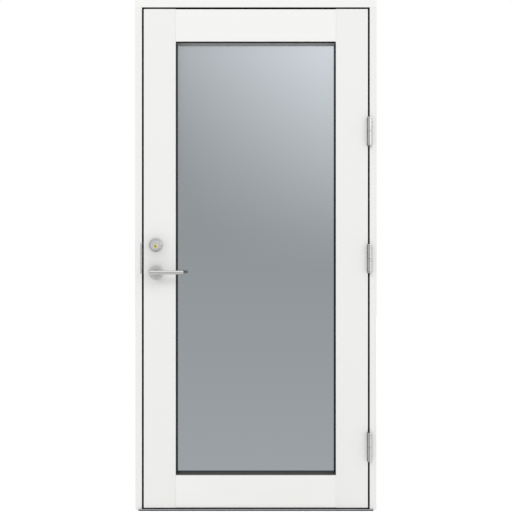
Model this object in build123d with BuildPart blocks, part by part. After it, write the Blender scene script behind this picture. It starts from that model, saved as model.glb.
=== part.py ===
from build123d import *
import os
from math import hypot

os.makedirs("parts", exist_ok=True)

# Axes: X to the right as seen from outside, Y into the building, Z up.
# The origin is on the floor, at the middle of the frame's width and depth.

# Frame, overall
frame_width = 990
frame_height = 2090
frame_depth = 115

# Frame sections: how thick each member is at the outside face and at its stop
jamb_face = 28.5
jamb_stop = 46
head_face = 30
head_stop = 48

# Room round the closed leaf
leaf_gap = 7
stop_gap = 6

# Threshold
plate_thick = 5
plate_gap = 5
nose_reach = 10
nose_width = 960
upstand_height = 25
upstand_wall = 3
upstand_return = 12
groove_count = 6
groove_pitch = 9
groove_width = 2
groove_depth = 1

# Leaf
leaf_thick = 68
stile_width = 131.5
rail_top_height = 133
rail_bottom_height = 133
rail_top_setback = 0.5
rail_bottom_setback = 1.4
edge_bevel = 3
arris = 2

# Glazing, from outside to inside
glass_recess = 27
gasket_thick = 3
lining_thick = 2
lining_setback = 1
rebate_width = 14
glass_clearance = 2
pane_thick = 4
cavity = 16
spacer_width = 9
bead_bevel = 5

# Seals in the frame's rebate
seal_width = 7
seal_height = 5.3
seal_round = 2
seal_inset = 1.5

# Hinges
hinge_from_head = 540
hinge_middle_height = 1031
hinge_from_floor = 261
hinge_length = 117.5
hinge_split = 1
barrel_radius = 9
barrel_proud = 1
barrel_taper = 2
flag_thick = 3
flag_depth = 38
pin_radius = 5
pin_clearance = 0.08
bore_cap = 7

# Lever handles
lever_height = 975
rose_radius = 28
rose_thick = 8
rose_edge = 1.5
neck_radius = 8.5
lever_radius = 8.5
lever_stand_off = 58
lever_length = 120
lever_tail = 13.5
lever_edge = 1.2
spindle_size = 8
spindle_grip = 22
spindle_bore = 9
neck_gap = 1
running_clearance = 0.08

# Key cylinder
cylinder_rise = 111
cylinder_radius = 19.5
cylinder_proud = 9.5
ring_radius = 28
ring_thick = 10
ring_skirt = 2
ring_face_radius = 21
plug_radius = 10
plug_drop = 4
plug_proud = 0.5
plug_depth = 26
key_slot_width = 3
key_slot_height = 9
key_slot_depth = 20

# Lock and strike, set by the handle's height
backset = 49.5
lock_rise = 56
faceplate_length = 235
faceplate_width = 20
faceplate_thick = 3
latch_rise = 25
latch_length = 20
latch_bevel = 8
dead_bolt_rise = 75
dead_bolt_length = 30
bolt_width = 11
bolt_depth = 40
bolt_clearance = 0.2
strike_length = 125
strike_depth = 45
strike_thick = 3
strike_lip = 6.5
strike_lip_thick = 2
keep_clearance = 3
keep_depth = 22

# Holes for the frame screws, the same in both jambs
screw_radius = 7
screw_inset = 52
screw_from_floor = 150
screw_from_head = 190
screw_middle_spacing = 650

# Places worked out from the sizes above
outside = -frame_depth / 2
inside = frame_depth / 2
stop_y = outside + leaf_thick + stop_gap
leaf_back = outside + leaf_thick
leaf_half = frame_width / 2 - jamb_face - leaf_gap
jamb_x = frame_width / 2 - jamb_face
stop_x = frame_width / 2 - jamb_stop
leaf_bottom = plate_thick + plate_gap
leaf_top = frame_height - head_face - leaf_gap
opening_half = leaf_half - stile_width
opening_top = leaf_top - rail_top_height
opening_bottom = leaf_bottom + rail_bottom_height
glass_cover = rebate_width - glass_clearance
rebate_half = opening_half + rebate_width
rebate_top = opening_top + rebate_width
rebate_bottom = opening_bottom - rebate_width
lip_back = outside + glass_recess - gasket_thick
outer_pane_y = outside + glass_recess
cavity_y = outer_pane_y + pane_thick
inner_pane_y = cavity_y + cavity
inner_gasket_y = inner_pane_y + pane_thick
bead_y = inner_gasket_y + gasket_thick
hinge_x = frame_width / 2 - jamb_face - leaf_gap / 2
hinge_y = outside - barrel_proud - barrel_radius
knuckle_length = (hinge_length - hinge_split) / 2
hinge_heights = {
    "top": frame_height - hinge_from_head,
    "middle": hinge_middle_height,
    "bottom": hinge_from_floor,
}
handle_x = backset - leaf_half
cylinder_height = lever_height + cylinder_rise
plug_height = cylinder_height - plug_drop
lock_height = lever_height + lock_rise
latch_height = lever_height + latch_rise
dead_bolt_height = lever_height + dead_bolt_rise
bolt_y = outside + leaf_thick / 2
bolts = ((latch_height, latch_length), (dead_bolt_height, dead_bolt_length))
screw_top = frame_height - screw_from_head
screw_middle = (screw_from_floor + screw_top) / 2
screw_heights = (
    screw_from_floor,
    screw_middle - screw_middle_spacing / 2,
    screw_middle + screw_middle_spacing / 2,
    screw_top,
)


def opening_rectangle(half_width, low, high, reach=0, mode=Mode.ADD):
    """A rectangle in the plane of the leaf, larger than the given one by reach on every side."""
    with Locations((0, (low + high) / 2)):
        Rectangle(2 * (half_width + reach), high - low + 2 * reach, mode=mode)


def plane_at(y):
    """An upright plane parallel to the leaf, with its normal pointing outside."""
    return Plane.XZ.offset(-y)


# The two jambs are rebated on the room side of the leaf, and carry the head.
# Each is drilled for frame screws, and one is cut out for the strike plate, the other for hinge flags.
def jamb_blank(side):
    with BuildSketch() as section:
        with BuildLine():
            Polyline(
                (side * frame_width / 2, outside),
                (side * jamb_x, outside),
                (side * jamb_x, stop_y),
                (side * stop_x, stop_y),
                (side * stop_x, inside),
                (side * frame_width / 2, inside),
                close=True,
            )
        make_face()
        face_corner = section.vertices().sort_by(Axis.Y)[:2].sort_by(lambda v: abs(v.X))[0]
        fillet(face_corner, arris)
    extrude(section.sketch, amount=frame_height - head_face)
    with Locations((side * frame_width / 2, stop_y, frame_height - head_stop)):
        Box(
            2 * jamb_stop,
            inside - stop_y,
            head_stop,
            align=(Align.CENTER, Align.MIN, Align.MIN),
            mode=Mode.SUBTRACT,
        )
    for height in screw_heights:
        with Locations(Plane((side * jamb_x, outside + screw_inset, height), z_dir=(-side, 0, 0))):
            Hole(screw_radius)


def strike_section():
    """The strike plate from above: a plate in the jamb's edge with a lip round to its face."""
    with BuildSketch(Plane.XY.offset(lock_height - strike_length / 2)) as section:
        with BuildLine():
            Polyline(
                (-jamb_x, outside),
                (-jamb_x - strike_lip, outside),
                (-jamb_x - strike_lip, outside + strike_lip_thick),
                (-jamb_x - strike_thick, outside + strike_lip_thick),
                (-jamb_x - strike_thick, outside + strike_depth),
                (-jamb_x, outside + strike_depth),
                close=True,
            )
        make_face()
        corner = section.vertices().sort_by(Axis.Y)[:2].sort_by(Axis.X)[-1]
        fillet(corner, arris)
    return section.sketch


def bolt_boxes(start, depth, grow, mode):
    """A box for each of the two bolts, in the lock jamb or in its strike plate."""
    for height, length in bolts:
        with Locations((start, bolt_y, height)):
            Box(
                depth,
                bolt_width + 2 * grow,
                length + 2 * grow,
                align=(Align.MAX, Align.CENTER, Align.CENTER),
                mode=mode,
            )


with BuildPart() as frame_jamb_lock:
    jamb_blank(-1)
    extrude(strike_section(), amount=strike_length, mode=Mode.SUBTRACT)
    bolt_boxes(-jamb_x, keep_depth, keep_clearance, Mode.SUBTRACT)
frame_jamb_lock.part.label = "frame_jamb_lock"
export_step(frame_jamb_lock.part, "parts/frame_jamb_lock.step")

with BuildPart() as strike_plate:
    extrude(strike_section(), amount=strike_length)
    bolt_boxes(-jamb_x, strike_thick, keep_clearance, Mode.SUBTRACT)
strike_plate.part.label = "strike_plate"
export_step(strike_plate.part, "parts/strike_plate.step")


# Lift-off flag hinges: the lower half is let into the jamb and holds the pin.
# The upper half is let into the leaf's edge and turns on it.
def flag_box(edge_x, side, start, mode):
    """The flat flag of one hinge half, from the barrel back along the gap."""
    with Locations((edge_x, outside + flag_depth, start)):
        Box(
            flag_thick,
            outside + flag_depth - hinge_y,
            knuckle_length,
            align=(Align.MIN if side > 0 else Align.MAX, Align.MAX, Align.MIN),
            mode=mode,
        )


def barrel(start, cap_end):
    """One knuckle, tapered at its cap end (0 below, -1 above) and square at the split."""
    with BuildSketch(Plane.XY.offset(start)) as section:
        with Locations((hinge_x, hinge_y)):
            Circle(barrel_radius)
    knuckle = extrude(section.sketch, amount=knuckle_length)
    rims = knuckle.edges().filter_by(GeomType.CIRCLE).sort_by(Axis.Z)
    chamfer(rims[cap_end], barrel_taper)


def barrel_bore(start, length):
    with BuildSketch(Plane.XY.offset(start)) as section:
        with Locations((hinge_x, hinge_y)):
            Circle(pin_radius + pin_clearance)
    extrude(section.sketch, amount=length, mode=Mode.SUBTRACT)


with BuildPart() as frame_jamb_hinge:
    jamb_blank(1)
    for middle in hinge_heights.values():
        flag_box(jamb_x, 1, middle - hinge_length / 2, Mode.SUBTRACT)
frame_jamb_hinge.part.label = "frame_jamb_hinge"
export_step(frame_jamb_hinge.part, "parts/frame_jamb_hinge.step")

for place, middle in hinge_heights.items():
    lower = middle - hinge_length / 2
    upper = middle + hinge_split / 2
    socket_length = knuckle_length - bore_cap

    with BuildPart() as hinge_frame_half:
        barrel(lower, 0)
        flag_box(jamb_x, 1, lower, Mode.ADD)
        barrel_bore(lower + bore_cap, socket_length)
    hinge_frame_half.part.label = f"hinge_frame_half_{place}"
    export_step(hinge_frame_half.part, f"parts/hinge_frame_half_{place}.step")

    with BuildPart() as hinge_pin:
        with BuildSketch(Plane.XY.offset(lower + bore_cap)):
            with Locations((hinge_x, hinge_y)):
                Circle(pin_radius)
        extrude(amount=2 * socket_length + hinge_split - pin_clearance)
    hinge_pin.part.label = f"hinge_pin_{place}"
    export_step(hinge_pin.part, f"parts/hinge_pin_{place}.step")

    with BuildPart() as hinge_leaf_half:
        barrel(upper, -1)
        flag_box(leaf_half, -1, upper, Mode.ADD)
        barrel_bore(upper, socket_length)
    hinge_leaf_half.part.label = f"hinge_leaf_half_{place}"
    export_step(hinge_leaf_half.part, f"parts/hinge_leaf_half_{place}.step")

# The head lies over both jambs, with the same rebate.
with BuildPart() as frame_head:
    with BuildSketch(Plane.YZ) as head_section:
        with BuildLine():
            Polyline(
                (outside, frame_height),
                (outside, frame_height - head_face),
                (stop_y, frame_height - head_face),
                (stop_y, frame_height - head_stop),
                (inside, frame_height - head_stop),
                (inside, frame_height),
                close=True,
            )
        make_face()
        face_corner = head_section.vertices().sort_by(Axis.X)[:2].sort_by(Axis.Y)[0]
        fillet(face_corner, arris)
    extrude(amount=frame_width / 2, both=True)
frame_head.part.label = "frame_head"
export_step(frame_head.part, "parts/frame_head.step")

# The threshold is a metal profile, low under the leaf, with an upstand behind it and a nose in front.
with BuildPart() as threshold_plate:
    with BuildSketch(Plane.YZ):
        with Locations((outside, 0)):
            Rectangle(stop_y - outside, plate_thick, align=Align.MIN)
    extrude(amount=jamb_x, both=True)
    with BuildSketch(Plane.YZ) as nose_section:
        with Locations((outside, 0)):
            Rectangle(nose_reach, plate_thick, align=(Align.MAX, Align.MIN))
        fillet(nose_section.vertices().group_by(Axis.X)[0].sort_by(Axis.Y)[-1], arris)
    extrude(amount=nose_width / 2, both=True)
    with BuildSketch(Plane.YZ):
        with BuildLine():
            Polyline(
                (stop_y, 0),
                (stop_y, upstand_height),
                (stop_y + upstand_return, upstand_height),
                (stop_y + upstand_return, upstand_height - upstand_wall),
                (stop_y + upstand_wall, upstand_height - upstand_wall),
                (stop_y + upstand_wall, 0),
                close=True,
            )
        make_face()
    extrude(amount=stop_x, both=True)
    with BuildSketch(Plane.YZ):
        with Locations(((outside + stop_y) / 2, plate_thick)):
            with GridLocations(groove_pitch, 0, groove_count, 1):
                Rectangle(groove_width, groove_depth, align=(Align.CENTER, Align.MAX))
    extrude(amount=jamb_x, both=True, mode=Mode.SUBTRACT)
threshold_plate.part.label = "threshold_plate"
export_step(threshold_plate.part, "parts/threshold_plate.step")

with BuildPart() as threshold_block:
    with BuildSketch(Plane.YZ):
        with BuildLine():
            Polyline(
                (stop_y + upstand_wall, 0),
                (stop_y + upstand_wall, upstand_height - upstand_wall),
                (stop_y + upstand_return, upstand_height - upstand_wall),
                (stop_y + upstand_return, upstand_height),
                (inside, upstand_height),
                (inside, 0),
                close=True,
            )
        make_face()
    extrude(amount=stop_x, both=True)
threshold_block.part.label = "threshold_block"
export_step(threshold_block.part, "parts/threshold_block.step")

# Rubber seals stand on the frame's shoulder and on the upstand, and all but touch the leaf's back.
seal_x = stop_x + seal_inset
seal_top = frame_height - head_stop + seal_inset

with BuildPart() as frame_seal:
    with BuildSketch(plane_at(stop_y)):
        with Locations((0, plate_thick)):
            Rectangle(
                2 * (seal_x + seal_width),
                seal_top + seal_width - plate_thick,
                align=(Align.CENTER, Align.MIN),
            )
            Rectangle(
                2 * seal_x,
                seal_top - plate_thick,
                align=(Align.CENTER, Align.MIN),
                mode=Mode.SUBTRACT,
            )
    extrude(amount=seal_height)
    long_edges = frame_seal.faces().sort_by(Axis.Y)[0].edges().filter_by(lambda e: e.length > 2 * seal_width)
    fillet(long_edges, seal_round)
frame_seal.part.label = "frame_seal"
export_step(frame_seal.part, "parts/frame_seal.step")

with BuildPart() as threshold_seal:
    with BuildSketch(plane_at(stop_y)):
        with Locations((0, upstand_height - seal_inset)):
            Rectangle(2 * stop_x, seal_width, align=(Align.CENTER, Align.MAX))
    extrude(amount=seal_height)
    fillet(threshold_seal.faces().sort_by(Axis.Y)[0].edges().filter_by(Axis.X), seal_round)
threshold_seal.part.label = "threshold_seal"
export_step(threshold_seal.part, "parts/threshold_seal.step")

# The leaf: two full-height stiles with two rails between them, rebated from the room side for the glass.
# The lock stile's edge is bevelled towards the room, so that it swings clear of the jamb.
edge_length = hypot(edge_bevel, leaf_thick)
edge_plane = Plane(
    origin=(-leaf_half + edge_bevel / 2, bolt_y, 0),
    x_dir=(0, 0, 1),
    z_dir=(-leaf_thick / edge_length, edge_bevel / edge_length, 0),
)


def stile_blank(side, bevel):
    with BuildSketch(Plane.XY.offset(leaf_bottom)) as section:
        with BuildLine():
            Polyline(
                (side * leaf_half, outside),
                (side * opening_half, outside),
                (side * opening_half, leaf_back),
                (side * (leaf_half - bevel), leaf_back),
                close=True,
            )
        make_face()
        fillet(section.vertices().sort_by(Axis.Y)[:2], arris)
    extrude(section.sketch, amount=leaf_top - leaf_bottom)
    with BuildSketch(plane_at(leaf_back)) as rebate:
        opening_rectangle(rebate_half, rebate_bottom, rebate_top)
    extrude(rebate.sketch, amount=leaf_back - lip_back, mode=Mode.SUBTRACT)


def faceplate_shape():
    with BuildSketch(edge_plane) as shape:
        with Locations((lock_height, 0)):
            SlotOverall(faceplate_length, faceplate_width)
    return shape.sketch


def bolt_shape(height, length, grow=0):
    with BuildSketch(edge_plane) as shape:
        with Locations((height, 0)):
            Rectangle(length + 2 * grow, bolt_width + 2 * grow)
    return shape.sketch


with BuildPart() as leaf_stile_lock:
    stile_blank(-1, edge_bevel)
    extrude(faceplate_shape(), amount=-faceplate_thick, mode=Mode.SUBTRACT)
    for height, length in bolts:
        pocket = bolt_shape(height, length, bolt_clearance)
        extrude(pocket, amount=-bolt_depth - bolt_clearance, mode=Mode.SUBTRACT)
    with Locations(Plane((handle_x, outside, lever_height), z_dir=(0, -1, 0))):
        Hole(spindle_bore)
    with Locations(Plane((handle_x, outside, cylinder_height), z_dir=(0, -1, 0))):
        Hole(cylinder_radius + running_clearance)
leaf_stile_lock.part.label = "leaf_stile_lock"
export_step(leaf_stile_lock.part, "parts/leaf_stile_lock.step")

with BuildPart() as leaf_stile_hinge:
    stile_blank(1, 0)
    for middle in hinge_heights.values():
        flag_box(leaf_half, -1, middle + hinge_split / 2, Mode.SUBTRACT)
leaf_stile_hinge.part.label = "leaf_stile_hinge"
export_step(leaf_stile_hinge.part, "parts/leaf_stile_hinge.step")


def rail_blank(low, high):
    with BuildSketch(Plane.YZ) as section:
        with Locations((outside, low)):
            Rectangle(leaf_thick, high - low, align=Align.MIN)
        fillet(section.vertices().group_by(Axis.X)[0], arris)
    extrude(section.sketch, amount=opening_half, both=True)
    with BuildSketch(plane_at(leaf_back)) as rebate:
        opening_rectangle(opening_half, rebate_bottom, rebate_top)
    extrude(rebate.sketch, amount=leaf_back - lip_back, mode=Mode.SUBTRACT)


with BuildPart() as leaf_rail_top:
    rail_blank(opening_top, leaf_top - rail_top_setback)
leaf_rail_top.part.label = "leaf_rail_top"
export_step(leaf_rail_top.part, "parts/leaf_rail_top.step")

with BuildPart() as leaf_rail_bottom:
    rail_blank(leaf_bottom + rail_bottom_setback, opening_bottom)
leaf_rail_bottom.part.label = "leaf_rail_bottom"
export_step(leaf_rail_bottom.part, "parts/leaf_rail_bottom.step")


# Glazing: a black lining with a gasket lip, a sealed double unit, an inner gasket and four mitred beads.
def opening_ring(y, thick, inner_reach, outer_reach):
    """A flat frame parallel to the leaf, from inner_reach to outer_reach outside the glazed opening."""
    with BuildSketch(plane_at(y + thick)) as ring:
        opening_rectangle(opening_half, opening_bottom, opening_top, outer_reach)
        opening_rectangle(opening_half, opening_bottom, opening_top, inner_reach, Mode.SUBTRACT)
    extrude(ring.sketch, amount=thick)


with BuildPart() as glazing_lining:
    opening_ring(outside + lining_setback, lip_back - outside - lining_setback, -lining_thick, 0)
    opening_ring(lip_back, gasket_thick, -lining_thick, glass_cover)
glazing_lining.part.label = "glazing_lining"
export_step(glazing_lining.part, "parts/glazing_lining.step")

with BuildPart() as glass_outer_pane:
    with BuildSketch(plane_at(outer_pane_y + pane_thick)):
        opening_rectangle(rebate_half, rebate_bottom, rebate_top, -glass_clearance)
    extrude(amount=pane_thick)
glass_outer_pane.part.label = "glass_outer_pane"
export_step(glass_outer_pane.part, "parts/glass_outer_pane.step")

with BuildPart() as glass_spacer:
    opening_ring(cavity_y, cavity, glass_cover - spacer_width, glass_cover)
glass_spacer.part.label = "glass_spacer"
export_step(glass_spacer.part, "parts/glass_spacer.step")

with BuildPart() as glass_inner_pane:
    with BuildSketch(plane_at(inner_pane_y + pane_thick)):
        opening_rectangle(rebate_half, rebate_bottom, rebate_top, -glass_clearance)
    extrude(amount=pane_thick)
glass_inner_pane.part.label = "glass_inner_pane"
export_step(glass_inner_pane.part, "parts/glass_inner_pane.step")

with BuildPart() as glazing_gasket:
    opening_ring(inner_gasket_y, gasket_thick, 0, glass_cover)
glazing_gasket.part.label = "glazing_gasket"
export_step(glazing_gasket.part, "parts/glazing_gasket.step")


def bead(start, end, inner_end, inner_start):
    """One glazing bead, mitred at both ends, with a bevel on the edge next to the glass."""
    with BuildSketch(plane_at(leaf_back)) as outline:
        with BuildLine():
            Polyline(start, end, inner_end, inner_start, close=True)
        make_face()
    body = extrude(outline.sketch, amount=leaf_back - bead_y)
    room_face = body.faces().sort_by(Axis.Y)[-1]
    glass_middle = Vector(0, leaf_back, (opening_top + opening_bottom) / 2)
    nearest = room_face.edges().sort_by(SortBy.LENGTH)[-2:].sort_by_distance(glass_middle)[0]
    chamfer(nearest, bead_bevel)


outer_low, outer_high = rebate_bottom, rebate_top
inner_low, inner_high = opening_bottom, opening_top
bead_outlines = {}
for place, side in (("lock", -1), ("hinge", 1)):
    outer_x, inner_x = side * rebate_half, side * opening_half
    bead_outlines[place] = (
        (outer_x, outer_low),
        (outer_x, outer_high),
        (inner_x, inner_high),
        (inner_x, inner_low),
    )
for place, outer_z, inner_z in (("top", outer_high, inner_high), ("bottom", outer_low, inner_low)):
    bead_outlines[place] = (
        (-rebate_half, outer_z),
        (rebate_half, outer_z),
        (opening_half, inner_z),
        (-opening_half, inner_z),
    )

for place, outline_points in bead_outlines.items():
    with BuildPart() as glazing_bead:
        bead(*outline_points)
    glazing_bead.part.label = f"glazing_bead_{place}"
    export_step(glazing_bead.part, f"parts/glazing_bead_{place}.step")

# The lock in the leaf's edge, with both bolts drawn back flush with its faceplate.
with BuildPart() as lock_faceplate:
    extrude(faceplate_shape(), amount=-faceplate_thick)
    for height, length in bolts:
        hole = bolt_shape(height, length, bolt_clearance)
        extrude(hole, amount=-faceplate_thick, mode=Mode.SUBTRACT)
lock_faceplate.part.label = "lock_faceplate"
export_step(lock_faceplate.part, "parts/lock_faceplate.step")

with BuildPart() as latch_bolt:
    extrude(bolt_shape(latch_height, latch_length), amount=-bolt_depth)
    nose_face = latch_bolt.faces().sort_by(Axis.X)[0]
    chamfer(nose_face.edges().sort_by(Axis.Y)[-1], bolt_width - arris, latch_bevel)
latch_bolt.part.label = "latch_bolt"
export_step(latch_bolt.part, "parts/latch_bolt.step")

with BuildPart() as dead_bolt:
    extrude(bolt_shape(dead_bolt_height, dead_bolt_length), amount=-bolt_depth)
dead_bolt.part.label = "dead_bolt"
export_step(dead_bolt.part, "parts/dead_bolt.step")


# Handles and key cylinder are alike outside and in: each is built on the leaf's face, outwards.
def face_plane(side, height):
    """A plane on the leaf's outside face (side -1) or room face (side 1), facing away from the leaf."""
    return Plane(
        origin=(handle_x, outside if side < 0 else leaf_back, height),
        x_dir=(1, 0, 0),
        z_dir=(0, side, 0),
    )


def disc(plane, radius, thick, edge_height, edge_width, bore):
    """A round plate on the leaf's face, its front edge cut back, with a hole through it."""
    with BuildSketch(plane) as outline:
        Circle(radius)
    body = extrude(outline.sketch, amount=thick)
    front = body.faces().sort_by(Axis(plane.origin, plane.z_dir))[-1]
    chamfer(front.edges(), edge_height, edge_width, reference=front)
    with BuildSketch(plane) as hole:
        Circle(bore)
    extrude(hole.sketch, amount=thick, mode=Mode.SUBTRACT)


def lever(side):
    """A round neck that stands off the leaf, a round bar across its end, and a socket for the spindle."""
    base = face_plane(side, lever_height)
    with BuildSketch(base.offset(neck_gap)) as neck:
        Circle(neck_radius)
    extrude(neck.sketch, amount=lever_stand_off - neck_gap)
    grip_start = Plane(
        origin=base.origin + base.z_dir * lever_stand_off - base.x_dir * lever_tail,
        x_dir=(0, 1, 0),
        z_dir=(1, 0, 0),
    )
    with BuildSketch(grip_start) as grip:
        Circle(lever_radius)
    bar = extrude(grip.sketch, amount=lever_tail + lever_length, mode=Mode.PRIVATE)
    add(bar.chamfer(lever_edge, lever_edge, bar.edges().filter_by(GeomType.CIRCLE)))
    with BuildSketch(base.offset(neck_gap)) as socket:
        Rectangle(spindle_size, spindle_size)
    extrude(socket.sketch, amount=spindle_grip, mode=Mode.SUBTRACT)


for side, place in ((-1, "outer"), (1, "inner")):
    with BuildPart() as rose:
        rose_plane = face_plane(side, lever_height)
        disc(rose_plane, rose_radius, rose_thick, rose_edge, rose_edge, neck_radius + running_clearance)
    rose.part.label = f"rose_{place}"
    export_step(rose.part, f"parts/rose_{place}.step")

    with BuildPart() as lever_handle:
        lever(side)
    lever_handle.part.label = f"lever_{place}"
    export_step(lever_handle.part, f"parts/lever_{place}.step")

    with BuildPart() as cylinder_ring:
        ring_plane = face_plane(side, cylinder_height)
        taper_height = ring_thick - ring_skirt
        taper_width = ring_radius - ring_face_radius
        hole_radius = cylinder_radius + running_clearance
        disc(ring_plane, ring_radius, ring_thick, taper_width, taper_height, hole_radius)
    cylinder_ring.part.label = f"cylinder_ring_{place}"
    export_step(cylinder_ring.part, f"parts/cylinder_ring_{place}.step")

    with BuildPart() as key_plug:
        plug_face = face_plane(side, plug_height).offset(cylinder_proud + plug_proud)
        with BuildSketch(plug_face):
            Circle(plug_radius)
        extrude(amount=-plug_depth)
        with BuildSketch(plug_face):
            Rectangle(key_slot_width, key_slot_height)
        extrude(amount=-key_slot_depth, mode=Mode.SUBTRACT)
    key_plug.part.label = f"key_plug_{place}"
    export_step(key_plug.part, f"parts/key_plug_{place}.step")

with BuildPart() as lever_spindle:
    with BuildSketch(face_plane(-1, lever_height).offset(neck_gap + spindle_grip)):
        Rectangle(spindle_size, spindle_size)
    extrude(amount=-(leaf_thick + 2 * (neck_gap + spindle_grip)))
lever_spindle.part.label = "lever_spindle"
export_step(lever_spindle.part, "parts/lever_spindle.step")

with BuildPart() as lock_cylinder:
    with BuildSketch(face_plane(-1, cylinder_height).offset(cylinder_proud)):
        Circle(cylinder_radius)
    extrude(amount=-(leaf_thick + 2 * cylinder_proud))
    for side in (-1, 1):
        with BuildSketch(face_plane(side, plug_height).offset(cylinder_proud)):
            Circle(plug_radius + running_clearance)
        extrude(amount=plug_proud - running_clearance - plug_depth, mode=Mode.SUBTRACT)
lock_cylinder.part.label = "lock_cylinder"
export_step(lock_cylinder.part, "parts/lock_cylinder.step")
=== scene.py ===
import math

import bmesh
import bpy
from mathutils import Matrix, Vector


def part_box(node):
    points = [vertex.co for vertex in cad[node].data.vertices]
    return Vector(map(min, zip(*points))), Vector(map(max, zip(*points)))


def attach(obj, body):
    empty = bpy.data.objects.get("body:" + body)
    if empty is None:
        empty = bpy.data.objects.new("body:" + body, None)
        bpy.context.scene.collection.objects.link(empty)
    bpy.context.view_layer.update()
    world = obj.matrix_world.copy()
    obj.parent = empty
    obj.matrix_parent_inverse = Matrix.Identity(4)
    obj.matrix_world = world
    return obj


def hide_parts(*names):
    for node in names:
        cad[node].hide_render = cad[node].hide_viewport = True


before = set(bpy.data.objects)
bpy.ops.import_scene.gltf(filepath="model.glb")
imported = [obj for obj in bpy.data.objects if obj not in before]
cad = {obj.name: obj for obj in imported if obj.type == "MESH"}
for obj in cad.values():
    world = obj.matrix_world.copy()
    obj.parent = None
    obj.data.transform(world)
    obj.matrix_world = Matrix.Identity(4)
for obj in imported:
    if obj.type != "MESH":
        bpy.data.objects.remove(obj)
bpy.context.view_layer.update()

# The camera stands square in front of the closed door, outdoors, near half its height.
# It is close enough for the reveal of the glass and the sides of the gaps to show.
face_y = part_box("frame_head")[0].y
camera_distance = 2.75
camera_side = 0.0007
camera_height = 1.0412
picture_width = 2.0977
sensor_width = 36

camera = bpy.data.objects.new("camera", bpy.data.cameras.new("camera"))
camera.data.sensor_width = sensor_width
camera.data.lens = sensor_width * camera_distance / picture_width
camera.location = (camera_side, face_y - camera_distance, camera_height)
camera.rotation_euler = (math.radians(90), 0, 0)
bpy.context.scene.collection.objects.link(camera)
bpy.context.scene.camera = camera


# Frame and leaf are planed softwood, sprayed white in the factory before the door is hung.
# The paint is satin: its fine orange peel and the grain under it show in a raking light,
# rain splash dulls the lowest part a little, and painted shade darkens it round the lever and the key.
class Value:
    """A number on its way through a tree's nodes. Python's operators add the maths nodes."""

    def __init__(self, recipe, socket):
        self.recipe = recipe
        self.socket = socket

    def maths(self, operation, *values):
        return self.recipe.node("ShaderNodeMath", {"operation": operation}, dict(enumerate(values)))

    def __add__(self, other):
        return self.maths("ADD", self, other)

    def __sub__(self, other):
        return self.maths("SUBTRACT", self, other)

    def __rsub__(self, other):
        return self.maths("SUBTRACT", other, self)

    def __mul__(self, other):
        return self.maths("MULTIPLY", self, other)

    def __pow__(self, other):
        return self.maths("POWER", self, other)

    def __abs__(self):
        return self.maths("ABSOLUTE", self)

    __radd__ = __add__
    __rmul__ = __mul__

    def wave(self):
        return self.maths("SINE", self)

    def fading(self):
        return self.maths("EXPONENT", 0 - self)

    def within(self, low, high):
        return self.maths("MINIMUM", self.maths("MAXIMUM", self, low), high)

    def past(self, start, sharpness):
        """A mask that rises from 0 to 1 beyond a start."""
        return ((self - start) * sharpness).within(0, 1)

    def short_of(self, end, sharpness):
        """A mask that sinks from 1 to 0 on the way to an end."""
        return ((end - self) * sharpness).within(0, 1)


class Recipe:
    """The node tree of a finish, of the studio's light or of a repeated part."""

    def __init__(self, tree):
        self.tree = tree
        self.tree.nodes.clear()

    def node(self, kind, settings=(), sockets=(), out=0):
        """Adds a node: its settings first, then the values or links of its sockets."""
        made = self.tree.nodes.new(kind)
        for name, value in dict(settings).items():
            if name == "stops":
                first, *middle, last = value
                steps = made.color_ramp.elements
                steps[0].position, steps[0].color = first
                steps[1].position, steps[1].color = last
                for position, colour in middle:
                    steps.new(position).color = colour
            else:
                setattr(made, name, value)
        taking = [socket for socket in made.inputs if socket.enabled]
        giving = [socket for socket in made.outputs if socket.enabled]
        for name, value in dict(sockets).items():
            socket = taking[name] if isinstance(name, int) else next(s for s in taking if s.name == name)
            if isinstance(value, Value):
                self.tree.links.new(value.socket, socket)
            else:
                socket.default_value = value
        if not giving:
            return made
        return Value(self, giving[out] if isinstance(out, int) else next(s for s in giving if s.name == out))


class Finish(Recipe):
    """One material. Its even qualities are set on the shader, and feed() gives it those that vary."""

    def __init__(self, name, qualities):
        self.material = bpy.data.materials.new(name)
        self.material.use_nodes = True
        super().__init__(self.material.node_tree)
        self.shader = self.tree.nodes.new("ShaderNodeBsdfPrincipled")
        for quality, value in qualities.items():
            self.shader.inputs[quality].default_value = value
        self.node("ShaderNodeOutputMaterial", {}, {"Surface": Value(self, self.shader.outputs[0])})
        self.place = self.node("ShaderNodeTexCoord", out="Object")

    def feed(self, quality, value):
        self.tree.links.new(value.socket, self.shader.inputs[quality])

    def stretched(self, scale, centre=(0, 0, 0)):
        """The piece's own coordinates from a centre, stretched along the axes."""
        moved = {"Vector": self.place, "Location": [-c * s for c, s in zip(centre, scale)], "Scale": scale}
        return self.node("ShaderNodeMapping", {}, moved)

    def noise(self, place, scale, detail=2, roughness=0.5):
        sockets = {"Vector": place, "Scale": scale, "Detail": detail, "Roughness": roughness}
        return self.node("ShaderNodeTexNoise", {}, sockets, "Fac")

    def axis(self, name, centre=(0, 0, 0)):
        """The distance from a centre along one axis, in metres."""
        return self.node("ShaderNodeSeparateXYZ", {}, {"Vector": self.stretched((1, 1, 1), centre)}, name)

    def tint(self, factor, first, second):
        mixed = {"Factor": factor, "A": first, "B": second}
        return self.node("ShaderNodeMix", {"data_type": "RGBA", "clamp_factor": True}, mixed)

    def relief(self, height, depth):
        """Raises the surface by height, of which 1 is depth metres."""
        self.feed("Normal", self.node("ShaderNodeBump", {}, {"Height": height, "Distance": depth}))


def dress(finish, *names):
    """Gives a finish to pieces that keep the shape of their solid."""
    for name in names:
        for spot in cad[name].material_slots:
            spot.material = finish.material


def drawn_out(along, fine, coarse):
    """The scale of a pattern that is coarse along one axis, 0 for X or 2 for Z, and fine across it."""
    scale = [fine, fine, fine]
    scale[along] = coarse
    return scale


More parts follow.
